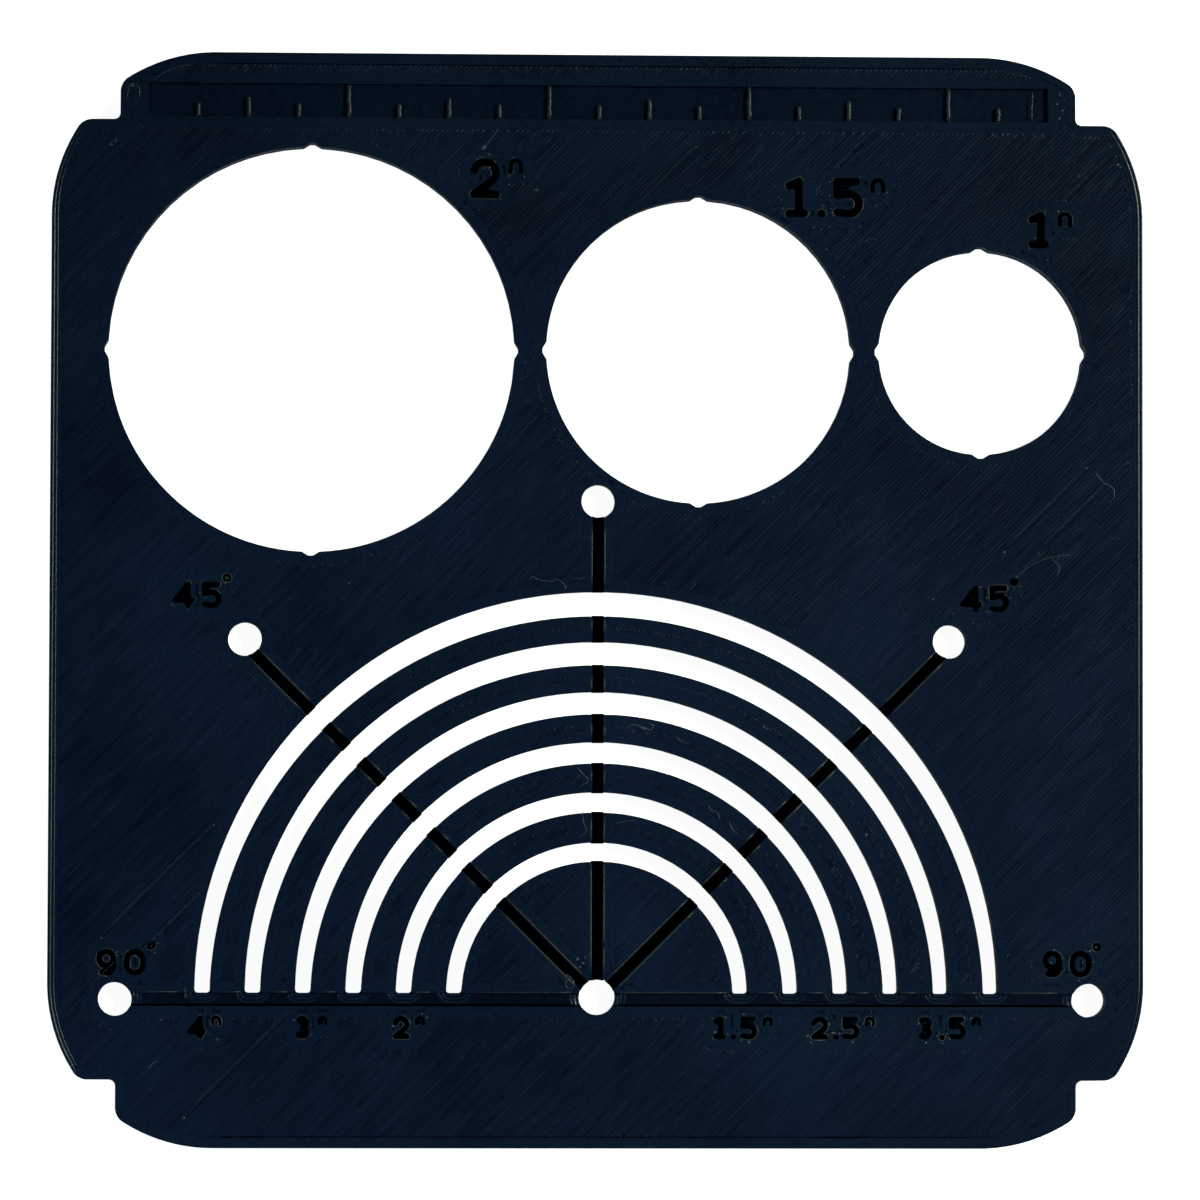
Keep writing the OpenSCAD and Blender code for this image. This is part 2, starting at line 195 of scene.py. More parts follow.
def slot_gap(slot):
    """Distance outside a half-round slot."""
    outer = np.hypot(X, Y - arc_y) - slot["outer"]
    inner = slot["inner"] - np.hypot(X, Y - arc_y - slot["rise"])
    return rounded(np.maximum(outer, inner), arc_y - Y, SLOT_CORNER_R)


def strip_gap(start, angle, length, width):
    """Distance outside a straight groove that starts at a point."""
    along = (X - start[0]) * math.cos(angle) + (Y - start[1]) * math.sin(angle)
    across = np.abs((Y - start[1]) * math.cos(angle) - (X - start[0]) * math.sin(angle)) - width / 2
    return cornered(across, np.maximum(-along, along - length))


# How far from a pen stroke its field is worked out
STROKE_ROOM = 2.4


def stroke_gap(paths, width):
    """Distance outside pen strokes along open paths, worked out only near them."""
    gap = np.full(X.shape, FAR)
    margin = width + STROKE_ROOM
    for path in paths:
        for p, q in zip(path[:-1], path[1:]):
            i0, i1 = np.searchsorted(xs, (min(p[0], q[0]) - margin, max(p[0], q[0]) + margin))
            j0, j1 = np.searchsorted(ys, (min(p[1], q[1]) - margin, max(p[1], q[1]) + margin))
            x, y = X[j0:j1, i0:i1], Y[j0:j1, i0:i1]
            run = q - p
            share = np.clip(((x - p[0]) * run[0] + (y - p[1]) * run[1]) / max(run @ run, 1e-9), 0, 1)
            away = np.hypot(x - p[0] - share * run[0], y - p[1] - share * run[1])
            gap[j0:j1, i0:i1] = np.minimum(gap[j0:j1, i0:i1], away - width / 2)
    return gap


# ---------- the engraved numbers ----------

# Widths of characters as shares of their height
GLYPH_W = {"1": 0.56, ".": 0.2, "0": 0.82, "4": 0.82}
OTHER_GLYPH_W = 0.74

# Beside the circle holes: distance from the rim, direction in degrees, digits and height of each number
CIRCLE_NUMBERS = ((2.07, 44, "2", 5.1), (0.98, 57.3, "1.5", 5.1), (1.68, 65.4, "1", 4.7))
CIRCLE_STROKE = 1.0
CIRCLE_SIGN = (1.85, 1.95)
# Under the baseline: slot, side, shift from the slot's foot, and digits of each number
SLOT_NUMBERS = ((5, -1, -0.9, "4"), (3, -1, 0, "3"), (1, -1, -0.4, "2"),
                (0, 1, -4.4, "1.5"), (2, 1, -4.7, "2.5"), (4, 1, -3.9, "3.5"))
SLOT_DIGIT_H = 2.9
SLOT_STROKE = 0.66
SLOT_SIGN = (1.25, 1.25)
SLOT_NUMBER_ROOM = 1.2
# Beside the angle marks: bore, shift from its centre, and digits of each number
ANGLE_NUMBERS = ((2, (-9.2, 3.85), "45"), (3, (1.3, 3.75), "45"),
                 (4, (-2.3, 2.95), "90"), (5, (-5.9, 2.95), "90"))
ANGLE_DIGIT_H = 3.4
ANGLE_STROKE = 0.72
# Degree sign: radius, stroke, and shift of its centre from the digits' upper right corner
DEGREE_R = 0.4
DEGREE_STROKE = 0.3
DEGREE_SHIFT = (0.55, 0.45)


def arc(centre, r, a0, a1):
    """Points along an arc, angles in degrees."""
    angles = np.radians(np.linspace(a0, a1, max(3, int(abs(a1 - a0) / 15) + 1)))
    return np.array(centre) + r * np.stack([np.cos(angles), np.sin(angles)], 1)


def glyph_paths(c, h, s):
    """Pen paths of one character, with its lower left corner on the origin."""
    w = GLYPH_W.get(c, OTHER_GLYPH_W) * h
    e = s / 2
    bowl = (w - s) / 2
    upper = (w / 2, h - e - bowl)
    if c == "0":
        lower = (w / 2, e + bowl)
        return [np.vstack([arc(upper, bowl, 0, 180), arc(lower, bowl, 180, 360), arc(upper, bowl, 0, 1)])]
    if c == "1":
        return [[(e, h * 0.79), (w * 0.6, h - e), (w * 0.6, e)], [(e, e), (w - e, e)]]
    if c == "2":
        return [np.vstack([arc(upper, bowl, 165, -35), [(e, e), (w - e, e)]])]
    if c == "3":
        high, low = (h - s) * 0.24, (h - s) * 0.26
        return [arc((w * 0.42, h - e - high), high, 140, -90), arc((w * 0.42, e + low), low, 90, -140)]
    if c == "4":
        return [[(w * 0.72, e), (w * 0.72, h - e), (e, h * 0.3), (w - e, h * 0.3)]]
    if c == "5":
        low = (h - s) * 0.31
        mid = (w - e - low, e + low)
        bar = mid[1] + low * 0.86
        return [np.vstack([[(w - e * 1.6, h - e), (e, h - e), (e, bar)], arc(mid, low, 90, -90),
                           [(e, e + low * 0.16)]])]
    if c == "9":
        hook = bowl * 0.9
        tail = arc((w - e - hook, e + hook), hook, 0, -90)
        return [arc(upper, bowl, 0, 360), np.vstack([[(w - e, upper[1])], tail, [(e * 2, e * 1.2)]])]
    return [[(w / 2, w / 2), (w / 2 + 0.05, w / 2)]]


def number_paths(corner, h, s, digits, gaps):
    """Pen paths of a number, and the place of the upper left corner of its end sign."""
    paths = []
    x = corner[0]
    for c, gap in zip(digits, gaps):
        paths += [np.array(path) + (x, corner[1]) for path in glyph_paths(c, h, s)]
        x += GLYPH_W.get(c, OTHER_GLYPH_W) * h + gap
    return paths, (x, corner[1] + h)


def inch_paths(corner, w, h):
    """Pen path of an inch sign: a small arch that hangs from its upper left corner."""
    s = w * 0.29
    r = (w - s) / 2
    spring = corner[1] - s / 2 - r
    foot = corner[1] - h + s / 2
    x0, x1 = corner[0] + s / 2, corner[0] + w - s / 2
    return [np.vstack([[(x0, foot)], arc((corner[0] + w / 2, spring), r, 180, 0), [(x1, foot)]])], s


def marks_gap():
    """Distance outside all engraved numbers and signs."""
    gaps = []

    def inch_number(corner, h, s, digits, spaces, sign_w, sign_h):
        paths, end = number_paths(corner, h, s, digits, spaces)
        gaps.append(stroke_gap(paths, s))
        sign, stroke = inch_paths(end, sign_w, sign_h)
        gaps.append(stroke_gap(sign, stroke))

    for (centre, r), (away, angle, digits, h) in zip(circles, CIRCLE_NUMBERS):
        turn = math.radians(angle)
        corner = centre + (r + away) * np.array([math.cos(turn), math.sin(turn)])
        spaces = (1.2, 1, 1) if len(digits) > 1 else (1.1,)
        inch_number(corner, h, CIRCLE_STROKE, digits, spaces, *CIRCLE_SIGN)

    row_y = arc_y - BASE_DROP - BASE_GROOVE_W / 2 - SLOT_NUMBER_ROOM - SLOT_DIGIT_H
    for i, side, shift, digits in SLOT_NUMBERS:
        corner = (side * slots[i]["outer"] + shift, row_y)
        spaces = (0.65, 0.6, 0.7) if len(digits) > 1 else (0.7,)
        inch_number(corner, SLOT_DIGIT_H, SLOT_STROKE, digits, spaces, *SLOT_SIGN)

    for k, shift, digits in ANGLE_NUMBERS:
        paths, end = number_paths(bores[k][0] + shift, ANGLE_DIGIT_H, ANGLE_STROKE, digits, (0.95, 0.1))
        gaps.append(stroke_gap(paths, ANGLE_STROKE))
        centre = (end[0] + DEGREE_SHIFT[0], end[1] + DEGREE_SHIFT[1])
        gaps.append(stroke_gap([arc(centre, DEGREE_R, 0, 360)], DEGREE_STROKE))
    return np.minimum.reduce(gaps)


outline = outline_gap()
through = np.minimum.reduce([outline] + [circle_gap(centre, r) for centre, r in circles]
                            + [slot_gap(slot) for slot in slots]
                            + [np.hypot(X - centre[0], Y - centre[1]) - r for centre, r in bores])
meet = (0, arc_y - GROOVE_DROP)
sight = np.minimum.reduce([strip_gap(meet, math.radians(a), GROOVE_LENGTH, GROOVE_W) for a in (45, 90, 135)])
marks = marks_gap()
panel = boxed(-ruler_half, ruler_half, *panel_y)
base_y = arc_y - BASE_DROP
base = boxed(*baseline, base_y - BASE_GROOVE_W / 2, base_y + BASE_GROOVE_W / 2)

# The ranges of layers, from the underside up: each cut's floor starts a new one
floors = ((top - GROOVE_DEPTH, sight), (top - MARK_DEPTH, marks),
          (top - PANEL_DEPTH, panel), (top - BASE_GROOVE_DEPTH, base))
storeys = [{"z0": 0.0, "gap": through}]
for z, cut in floors:
    storeys[-1]["z1"] = z
    storeys.append({"z0": z, "gap": np.minimum(storeys[-1]["gap"], cut)})
storeys[-1]["z1"] = top
face = storeys[-1]["gap"]


def read(field, points):
    """A field's value at points, between its grid points."""
    u = (points[..., 0] - xs[0]) / STEP
    v = (points[..., 1] - ys[0]) / STEP
    i = np.clip(u.astype(int), 0, len(xs) - 2)
    j = np.clip(v.astype(int), 0, len(ys) - 2)
    u, v = u - i, v - j
    return ((field[j, i] * (1 - u) + field[j, i + 1] * u) * (1 - v)
            + (field[j + 1, i] * (1 - u) + field[j + 1, i + 1] * u) * v)


# ---------- contours ----------

# For each pattern of a cell's four corners (1 lower left, 2 lower right, 4 upper right, 8 upper left),
# the sides a contour enters and leaves by, with the higher side on its left
CELL_RUNS = {1: ("BL",), 2: ("RB",), 3: ("RL",), 4: ("TR",), 5: ("BL", "TR"), 6: ("TB",), 7: ("TL",),
             8: ("LT",), 9: ("BT",), 10: ("RB", "LT"), 11: ("RT",), 12: ("LR",), 13: ("BR",), 14: ("LB",)}


def contours(field, level):
    """Closed loops along a level of a field, with the higher side on their left."""
    rows, cols = field.shape
    high = field > level
    pattern = high[:-1, :-1] * 1 + high[:-1, 1:] * 2 + high[1:, 1:] * 4 + high[1:, :-1] * 8
    sides = {"B": lambda j, i: j * cols + i, "T": lambda j, i: (j + 1) * cols + i,
             "L": lambda j, i: rows * cols + j * cols + i, "R": lambda j, i: rows * cols + j * cols + i + 1}
    after = {}
    for code, runs in CELL_RUNS.items():
        j, i = np.nonzero(pattern == code)
        for run in runs:
            after.update(zip(sides[run[0]](j, i).tolist(), sides[run[1]](j, i).tolist()))
    loops = []
    while after:
        first, here = after.popitem()
        edges = [first]
        while here != first:
            edges.append(here)
            here = after.pop(here)
        edges = np.array(edges)
        upright = edges >= rows * cols
        j, i = np.divmod(edges - upright * rows * cols, cols)
        f0 = field[j, i]
        f1 = field[j + upright, i + ~upright]
        share = (level - f0) / (f1 - f0)
        loops.append(np.stack([xs[i] + share * ~upright * STEP, ys[j] + share * upright * STEP], 1))
    return loops


def simplify(points, slack):
    """Drops the points of an open path that lie within slack of the rest."""
    keep = np.zeros(len(points), bool)
    keep[[0, -1]] = True
    spans = [(0, len(points) - 1)]
    while spans:
        a, b = spans.pop()
        if b - a < 2:
            continue
        run = points[b] - points[a]
        rel = points[a + 1:b] - points[a]
        size = math.hypot(*run)
        off = np.abs(run[0] * rel[:, 1] - run[1] * rel[:, 0]) / size if size > 1e-9 else np.hypot(*rel.T)
        k = int(off.argmax())
        if off[k] > slack:
            keep[a + 1 + k] = True
            spans += [(a, a + 1 + k), (a + 1 + k, b)]
    return points[keep]


def spaced(points, limit):
    """Adds points so that no two neighbours are further apart than limit."""
    out = []
    for p, q in zip(points[:-1], points[1:]):
        parts = max(1, math.ceil(math.hypot(*(q - p)) / limit))
        out += [p + (q - p) * k / parts for k in range(parts)]
    return np.array(out + [points[-1]])


def loops_at(field, level, slack=0.012, limit=4.0, shortest=1.0):
    """Thinned contour loops, each as points without the first one repeated at the end."""
    out = []
    for loop in contours(field, level):
        closed = spaced(simplify(np.vstack([loop, loop[:1]]), slack), limit)
        if len(closed) > 4 and np.hypot(*np.diff(closed, axis=0).T).sum() > shortest:
            out.append(closed[:-1])
    return out


def clipped(loop, field, level):
    """The open stretches of a loop where a field is above a level."""
    inside = read(field, loop) > level
    if inside.all():
        return [np.vstack([loop, loop[:1]])]
    if not inside.any():
        return []
    start = int(np.nonzero(~inside)[0][0])
    loop, inside = np.roll(loop, -start, 0), np.roll(inside, -start)
    edges = np.nonzero(np.diff(np.append(inside, False).astype(int)))[0]
    return [loop[a + 1:b + 1] for a, b in zip(edges[::2], edges[1::2]) if b - a > 1]


# ---------- mesh building ----------

class Solid:
    """Closed shells gathered into one mesh."""

    def __init__(self):
        self.points, self.faces, self.count = [], [], 0

    def add(self, points, faces):
        self.faces += [tuple(int(v) + self.count for v in f) for f in faces]
        self.points.append(points)
        self.count += len(points)

    def sweep(self, path, profile, closed, lift=0.0, swell=1.0):
        """Sweeps a closed profile of (left, up) points along a path. lift raises and swell widens
        each ring."""
        profile = np.array(profile)
        n, m = len(path), len(profile)
        lift = np.broadcast_to(lift, n)[:, None]
        swell = np.broadcast_to(swell, n)[:, None]
        ahead = np.roll(path, -1, 0) - path
        behind = path - np.roll(path, 1, 0)
        if not closed:
            ahead[-1], behind[0] = behind[-1], ahead[0]
        ahead /= np.maximum(np.hypot(*ahead.T), 1e-9)[:, None]
        behind /= np.maximum(np.hypot(*behind.T), 1e-9)[:, None]
        along = ahead + behind
        along /= np.maximum(np.hypot(*along.T), 1e-9)[:, None]
        left = np.stack([-along[:, 1], along[:, 0]], 1)
        rings = np.empty((n, m, 3))
        rings[:, :, :2] = path[:, None] + left[:, None] * (profile[None, :, 0] * swell)[:, :, None]
        rings[:, :, 2] = profile[None, :, 1] + lift
        k = np.arange(n if closed else n - 1)[:, None]
        j = np.arange(m)[None]
        here, there = k * m, (k + 1) % n * m
        quads = np.stack([here + j, here + (j + 1) % m, there + (j + 1) % m, there + j], -1).reshape(-1, 4)
        faces = list(quads)
        if not closed:
            faces += [range(m - 1, -1, -1), range((n - 1) * m, n * m)]
        self.add(rings.reshape(-1, 3), faces)

    def prism(self, loops, gap, level, z0, z1):
        """A flat slab between two heights, bounded by loops, where gap is above level."""
        flat = np.vstack(loops)
        sides, first = [], 0
        for loop in loops:
            k = np.arange(len(loop))
            sides.append(np.stack([first + k, first + (k + 1) % len(loop)], 1))
            first += len(loop)
        sides = np.vstack(sides)
        cells = delaunay_2d_cdt([Vector(p) for p in flat], sides.tolist(), [], 0, 1e-7)
        places, source = cells[0], cells[3]
        number = np.array([s[0] for s in source])
        triangles = np.array(cells[2])
        corners = np.array([(place.x, place.y) for place in places])[triangles]
        middle = corners.mean(axis=1)
        inside = number[triangles[read(gap, middle) > level]]
        n = len(flat)
        points = np.vstack([np.column_stack([flat, np.full(n, z)]) for z in (z0, z1)])
        walls = np.column_stack([sides[:, 0], sides[:, 1], sides[:, 1] + n, sides[:, 0] + n])
        self.add(points, list(inside[:, ::-1]) + list(inside + n) + list(walls))

    def blob(self, place, radii, turn=0.0):
        """A drop: a squashed ball with uneven radii."""
        rings = 7
        parts = 12
        points = [(0, 0, -1)]
        for a in np.linspace(-math.pi / 2, math.pi / 2, rings + 2)[1:-1]:
            points += [(math.cos(a) * math.cos(b), math.cos(a) * math.sin(b), math.sin(a))
                       for b in np.arange(parts) * 2 * math.pi / parts]
        points = np.array(points + [(0, 0, 1)]) * radii
        c, s = math.cos(turn), math.sin(turn)
        points = points @ np.array([[c, s, 0], [-s, c, 0], [0, 0, 1]]) + place
        last = len(points) - 1
        faces = [(0, 1 + (k + 1) % parts, 1 + k) for k in range(parts)]
        faces += [(1 + r * parts + k, 1 + r * parts + (k + 1) % parts,
                   1 + (r + 1) * parts + (k + 1) % parts, 1 + (r + 1) * parts + k)
                  for r in range(rings - 1) for k in range(parts)]
        faces += [(last, last - parts + k, last - parts + (k + 1) % parts) for k in range(parts)]
        self.add(points, faces)

    def piece(self, name, material, replaced=(), smooth=True):
        """Makes the object, which rides on the plate's one body and stands for the replaced CAD nodes."""
        mesh = bpy.data.meshes.new(name)
        mesh.from_pydata((np.vstack(self.points) * MM).tolist(), [], self.faces)
        if smooth:
            mesh.shade_smooth()
        mesh.materials.append(material)
        obj = bpy.data.objects.new(name, mesh)
        bpy.context.scene.collection.objects.link(obj)
        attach(obj, "root")
        if replaced:
            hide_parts(*replaced)


# ---------- materials ----------

# Noise: sizes of the soft patches and of the fine grain, per metre
PATCH_SCALE = 45
GRAIN_SCALE = 1400
# Where in the noise the dark tone ends and the light one starts
TONE_RANGE = (0.36, 0.64)
# How far the gloss swings to each side, and the grain bump's strength and height in metres
GLOSS_SWING = 0.09
BUMP_STRENGTH = 0.25
BUMP_HEIGHT = 0.00002


def plastic(name, dark, light, roughness, grain=0.35, streak=0.0, specular=0.3):
    """Printed plastic: two tones in soft patches and fine grain, uneven gloss and a faint grain bump.
    streak stretches the grain along the 45 degree beads."""
    material = bpy.data.materials.new(name)
    material.use_nodes = True
    nodes, links = material.node_tree.nodes, material.node_tree.links
    shader = nodes["Principled BSDF"]
    shader.inputs["Specular IOR Level"].default_value = specular
    where = nodes.new("ShaderNodeTexCoord")
    turned = nodes.new("ShaderNodeMapping")
    turned.vector_type = "TEXTURE"
    turned.inputs["Rotation"].default_value = (0, 0, math.pi / 4)
    turned.inputs["Scale"].default_value = (1 / (1 - streak), 1, 1)
    links.new(where.outputs["Object"], turned.inputs["Vector"])

    def noise(scale, detail, source):
        texture = nodes.new("ShaderNodeTexNoise")
        texture.inputs["Scale"].default_value = scale
        texture.inputs["Detail"].default_value = detail
        links.new(source, texture.inputs["Vector"])
        return texture.outputs["Fac"]

    patches = noise(PATCH_SCALE, 3, where.outputs["Object"])
    fine = noise(GRAIN_SCALE, 2, turned.outputs["Vector"])
    blend = nodes.new("ShaderNodeMix")
    blend.inputs["Factor"].default_value = grain
    links.new(patches, blend.inputs["A"])
    links.new(fine, blend.inputs["B"])
    ramp = nodes.new("ShaderNodeValToRGB")
    ramp.color_ramp.elements[0].position = TONE_RANGE[0]
    ramp.color_ramp.elements[0].color = (*dark, 1)
    ramp.color_ramp.elements[1].position = TONE_RANGE[1]
    ramp.color_ramp.elements[1].color = (*light, 1)
    links.new(blend.outputs["Result"], ramp.inputs["Fac"])
    links.new(ramp.outputs["Color"], shader.inputs["Base Color"])
    gloss = nodes.new("ShaderNodeMapRange")
    gloss.inputs["To Min"].default_value = roughness - GLOSS_SWING
    gloss.inputs["To Max"].default_value = roughness + GLOSS_SWING
    links.new(fine, gloss.inputs["Value"])
    links.new(gloss.outputs["Result"], shader.inputs["Roughness"])
    bump = nodes.new("ShaderNodeBump")
    bump.inputs["Strength"].default_value = BUMP_STRENGTH
    bump.inputs["Distance"].default_value = BUMP_HEIGHT
    links.new(fine, bump.inputs["Height"])
    links.new(bump.outputs["Normal"], shader.inputs["Normal"])
    return material


fill_look = plastic("navy_fill", (0.0005, 0.0048, 0.0200), (0.0034, 0.0136, 0.0420), 0.33, streak=0.9)
wall_look = plastic("navy_contour", (0.0012, 0.0085, 0.0285), (0.0035, 0.0140, 0.0400), 0.31)
body_look = plastic("navy_body", (0.0005, 0.0050, 0.0210), (0.0018, 0.0090, 0.0290), 0.3, specular=0.25)
side_look = plastic("navy_layers", (0.0005, 0.0040, 0.0160), (0.0015, 0.0080, 0.0260), 0.6, specular=0.04)
# Painted shade: a darker copy of the navy plastic for the floor of the baseline groove
trough_shade_look = plastic("painted_shade_navy", (0.0001, 0.0018, 0.0110), (0.0006, 0.0042, 0.0190), 0.4, specular=0.12)
# Painted shade: a matt near-black stand-in for the shade on the floors of grooves, numbers and seams
painted_shade_look = plastic("painted_shade_black", (0.0001, 0.0001, 0.0002), (0.0002, 0.0002, 0.0004), 0.9, specular=0.0)
# Painted highlight: a light grey copy of the plastic for the lips, standing in for the glint on their
# rounded edges
lip_highlight_look = plastic("painted_highlight_lip", (0.020, 0.026, 0.029), (0.045, 0.053, 0.055), 0.4)
# Painted highlight: a lighter copy of the plastic for the ruler's ridges
tick_highlight_look = plastic("painted_highlight_tick", (0.012, 0.020, 0.028), (0.030, 0.043, 0.053), 0.4)
# Painted highlight: a light copy of the plastic for strings, drips, scar edges and crumbs
string_highlight_look = plastic("painted_highlight_string", (0.026, 0.048, 0.068), (0.070, 0.105, 0.128), 0.35)

# ---------- the plate ----------

# How far the hidden core stays behind the walls, above the print bed and under the top
CORE_INSET = 0.14
CORE_LIFT = 0.08
SKIN = 0.2
# Room kept between the walls and the CAD outline, how far they reach into the plate, and how far
# they stay under the top
WALL_ROOM = 0.01
WALL_DEPTH = 0.4
WALL_DROP = 0.1
# Layers in a wall: depth of the dent between two, uneven part of it, and half height of the flat
# between dents as a share of the layer
SCALLOP = 0.045
UNEVEN = 0.012
LAYER_FLAT = 0.3

# All CAD nodes but the ruler's ridges
plate_nodes = [node for node in frame["nodes"] if not node.endswith("ticks")]


def core():
    """The plastic behind the beads, in one closed slab for each range of layers."""
    solid = Solid()
    for storey in storeys:
        loops = loops_at(storey["gap"], CORE_INSET)
        z0 = storey["z0"] + (CORE_LIFT if storey is storeys[0] else 0)
        z1 = storey["z1"] - (SKIN if storey is storeys[-1] else 0)
        solid.prism(loops, storey["gap"], CORE_INSET, z0, z1)
    solid.piece("printed_core", body_look, plate_nodes, smooth=False)


def walls():
    """The stacked layers seen on every edge, hole and slot wall."""
    solid = Solid()
    for storey in storeys:
        z0 = storey["z0"]
        z1 = storey["z1"] - (WALL_DROP if storey is storeys[-1] else 0)
        layers = max(1, round((storey["z1"] - z0) / LAYER))
        profile = [(SCALLOP, z0), (WALL_DEPTH, z0), (WALL_DEPTH, z1), (SCALLOP, z1)]
        for k in range(layers - 1, -1, -1):
            middle = z0 + (k + 0.5) * LAYER
            bulge = rng.uniform(0, UNEVEN)
            if middle + LAYER * LAYER_FLAT < z1:
                profile.append((bulge, middle + LAYER * LAYER_FLAT))
            profile.append((bulge, middle - LAYER * LAYER_FLAT))
            if k:
                profile.append((SCALLOP, middle - LAYER * 0.5))
        for loop in loops_at(storey["gap"], WALL_ROOM, slack=0.04, limit=9.0):
            solid.sweep(loop, profile, True)
    solid.piece("layered_walls", side_look)


# Section of a bead on the top face, as (left, up) from its crest
CREST = [(0.225, -0.05), (0.13, -0.013), (0, 0), (-0.13, -0.013), (-0.225, -0.05)]
CREST_FOOT = [(-0.2, -0.28), (0.2, -0.28)]
# The same on the underside, pressed flat by the print bed
PRESSED = [(-0.2, 0), (0.2, 0), (0.225, 0.04), (0.2, 0.16), (-0.2, 0.16), (-0.225, 0.04)]


def crest(z, rise=1.0, width=1.0):
    """The bead section with its crest at height z. rise and width are shares of the full bead's."""
    return [(x * width, z + up) for x, up in CREST_FOOT] + [(x * width, z + up * rise) for x, up in CREST]


def waver(count, size):
    """Slow random change along a path."""
    rough = rng.normal(0, size, count)
    return (rough + np.roll(rough, 1) + np.roll(rough, -1)) / 1.7


# Contour beads along the plate's own edge: drop under the top, and rise on its sides and elsewhere.
# The sides are what lies within SIDE_W of the left and right edges, and the two kinds overlap a little.
EDGE_DROP = 0.03
SIDE_RISE = 1.02
END_RISE = 0.15
SIDE_W = 4
SIDE_OVERLAP = 0.6
# Contour beads round the holes, slots and engravings: drop under the top, rise and width
HOLE_DROP = 0.045
HOLE_RISE = 0.1
HOLE_WIDTH = 1.1
# Height of the bead rings above the baseline groove's floor
RING_LIFT = 0.05


def contour_beads():
    """The beads that follow every edge of the top face, and those that cross the baseline groove."""
    solid = Solid()
    groove_z = top - BASE_GROOVE_DEPTH + RING_LIFT
    side = np.abs(X) - (half_w - SIDE_W)
    for ring in range(WALLS):
        level = (ring + 0.5) * BEAD
        for loop in loops_at(face, level, slack=0.015, limit=3.0, shortest=1.6):
            if np.abs(read(outline, loop) - level).mean() > BEAD:
                low_crest = crest(top - HOLE_DROP, HOLE_RISE, HOLE_WIDTH)
                solid.sweep(loop, low_crest, True, lift=waver(len(loop), 0.002))
                continue
            for field, rise in ((side, SIDE_RISE), (-side, END_RISE)):
                for path in clipped(loop, field, -SIDE_OVERLAP):
                    solid.sweep(path, crest(top - EDGE_DROP, rise), False, lift=waver(len(path), 0.004))
        for loop in loops_at(through, level, limit=0.4):
            for path in clipped(loop, -base, 0.05):
                solid.sweep(path, crest(groove_z), False)
    solid.piece("contour_beads", wall_look, smooth=False)


def underside_contours():
    """The beads that follow every edge of the underside."""
    solid = Solid()
    for ring in range(WALLS):
        for loop in loops_at(through, (ring + 0.5) * BEAD, slack=0.03, limit=40, shortest=1.6):
            solid.sweep(loop, PRESSED, True)
    solid.piece("underside_contours", wall_look, smooth=False)


# Bead lines that a moving nozzle scraped: start and end, in millimetres
SCARS = (((-52, -65.5), (-38, -53)), ((-62.5, -43), (-48, -28.9)), ((-64, -49.5), (-60.5, -46)),
         ((-57.4, -44.4), (-49.4, -36.5)), ((51.5, 6.2), (62.5, 16.8)), ((55.8, 6.2), (67.3, 17.9)),
         ((58.3, 51), (61.5, 54)), ((58, 50), (64, 57)), ((60.5, 56), (63.5, 59)), ((4, 49.2), (12.6, 57.4)),
         ((29.5, 54.2), (35.5, 59.9)), ((32, 57), (33.5, 58.5)))
# Directions along and across the fill beads of the top face
DIAGONAL = np.array([1, 1]) / math.sqrt(2)
SIDEWAYS = np.array([-1, 1]) / math.sqrt(2)


# How far the fill beads reach in under the contour beads, and the length of the shortest of them
FILL_OVERLAP = 0.1
SHORTEST_FILL = 0.35


def fill_stretches(gap, forward, sideways):
    """Where straight bead lines run inside the contour beads: line number, start and end along it."""
    reach = half_w * math.sqrt(2)
    along = np.arange(-reach, reach, STEP)
    inset = WALLS * BEAD - FILL_OVERLAP
    for line in range(-round(reach / BEAD), round(reach / BEAD) + 1):
        values = read(gap, along[:, None] * forward + line * BEAD * sideways) - inset
        turns = np.nonzero(np.diff((values > 0).astype(int)))[0]
        share = values[turns] / (values[turns] - values[turns + 1])
        cuts = along[turns] + share * STEP
        for start, end in zip(cuts[::2], cuts[1::2]):
            if end - start > SHORTEST_FILL:
                yield line, start, end


# Seams between the contour beads and the fill along the straight top and bottom edges, each with a painted
# shade strip in its floor:
# width, room left at each end of the edge, and drop under the top
SEAM_W = 0.22
SEAM_END = 22
SEAM_DROP = 0.05


def strip(width, z):
    """A flat bead section, width wide, with its top at height z."""
    half = width / 2
    return [(-half, z - 0.2), (half, z - 0.2), (half, z), (-half, z)]


def edge_seam_shade():
    """Painted shade: near-black strips laid in the floors of the two seams."""
    solid = Solid()
    reach = half_w - SEAM_END
    for side in (-1, 1):
        y = side * (half_h - WALLS * BEAD + FILL_OVERLAP - SEAM_W / 2)
        path = np.array([(-reach, y), (reach, y)])
        solid.sweep(path, strip(SEAM_W, top - SEAM_DROP), False)
    solid.piece("edge_seam_shade", painted_shade_look, smooth=False)


def scar_lines():
    """Each scar's bead line, start and end along the line."""
    return [(round(np.dot(p, SIDEWAYS) / BEAD), np.dot(p, DIAGONAL), np.dot(q, DIAGONAL)) for p, q in SCARS]


def wave_field(shortest, longest):
    """A smooth random field on the grid, mostly between -1 and 1."""
    total = np.zeros_like(X)
    for _ in range(7):
        turn, shift = rng.uniform(0, 2 * math.pi, 2)
        pitch = 2 * math.pi / rng.uniform(shortest, longest)
        total += np.sin(pitch * (X * math.cos(turn) + Y * math.sin(turn)) + shift)
    return total / 3


# How uneven the fill beads are from place to place, and where the lips round the numbers are whole
patches = np.clip(wave_field(14, 45) + 0.15, 0, 1)
crumbs = wave_field(2, 6)

# Fill beads: how far under the top their crests, their ends and the highest of them lie
FILL_DROP = 0.045
END_DROP = 0.07
LEAST_DROP = 0.02
# Unevenness of their height where patches is 0, and how much patches adds
EVEN_LIFT = 0.004
PATCHY_LIFT = 0.036
# Rise and width of their section, and length of the ramp at each end
FILL_RISE = 0.7
FILL_WIDTH = 1.05
RAMP = 0.4
# Depth of a scar, and length of the ramp at each of its ends
SCAR_DEPTH = 0.11
SCAR_RAMP = 0.2


